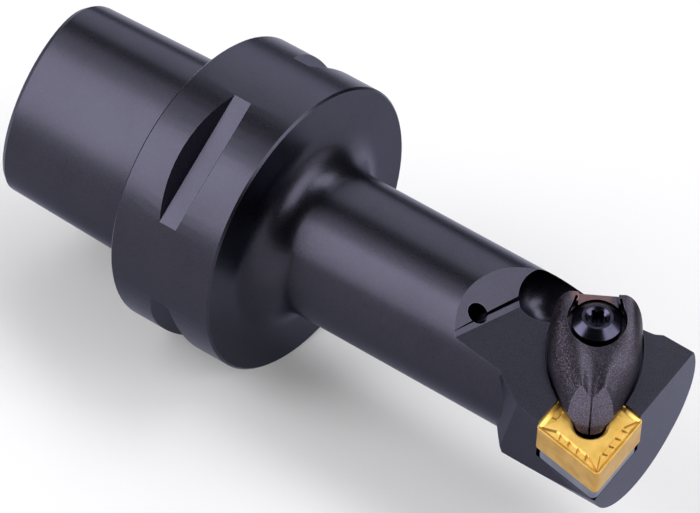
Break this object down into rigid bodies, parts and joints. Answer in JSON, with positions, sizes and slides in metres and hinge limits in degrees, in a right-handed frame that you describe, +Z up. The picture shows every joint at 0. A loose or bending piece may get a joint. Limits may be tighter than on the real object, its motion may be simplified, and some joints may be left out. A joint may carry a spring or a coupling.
{
  "type": "turning tool holder",
  "caption": "Internal turning tool holder with a tapered polygonal shank, a slotted flange, a slim round bar and a slanted head that clamps a rhombic cutting insert.",
  "frame": {"origin": "centre of the flange's contact face, on the shank's axis", "axes": "+X along the bar to the cutting end, +Z up, the cutting corner on the -Y side"},
  "size_m": [0.12, 0.05, 0.05],
  "materials": {
    "tool_body": "black oxide, satin",
    "insert": "gold coated carbide",
    "shim": "ground carbide",
    "shim_screw": "black oxide",
    "clamp": "dark, fine grained",
    "clamp_screw": "black oxide, polished",
    "clamp_spring": "spring steel"
  },
  "bodies": {
    "holder": {"tool_body": "tool_body", "insert": "insert", "shim": "shim", "shim_screw": "shim_screw", "clamp_spring": "clamp_spring"},
    "clamp": {"clamp": "clamp"},
    "clamp_screw": {"clamp_screw": "clamp_screw"}
  },
  "joints": [
    {"name": "clamp_lift", "type": "slide", "parent": "holder", "child": "clamp", "axis": [0.101, -0.2575, 0.961], "range_m": [0, 0.0024], "deforming": ["clamp_spring"]},
    {"name": "screw_turn", "type": "hinge", "parent": "clamp", "child": "clamp_screw", "pos_m": [0.07514, 0.0009, 0.01022], "axis": [0.101, -0.2575, 0.961], "range_deg": [0, 1080]}
  ],
  "couplings": [
    {"joint": "screw_turn", "follows": "clamp_lift", "rad_per_m": 7854}
  ]
}
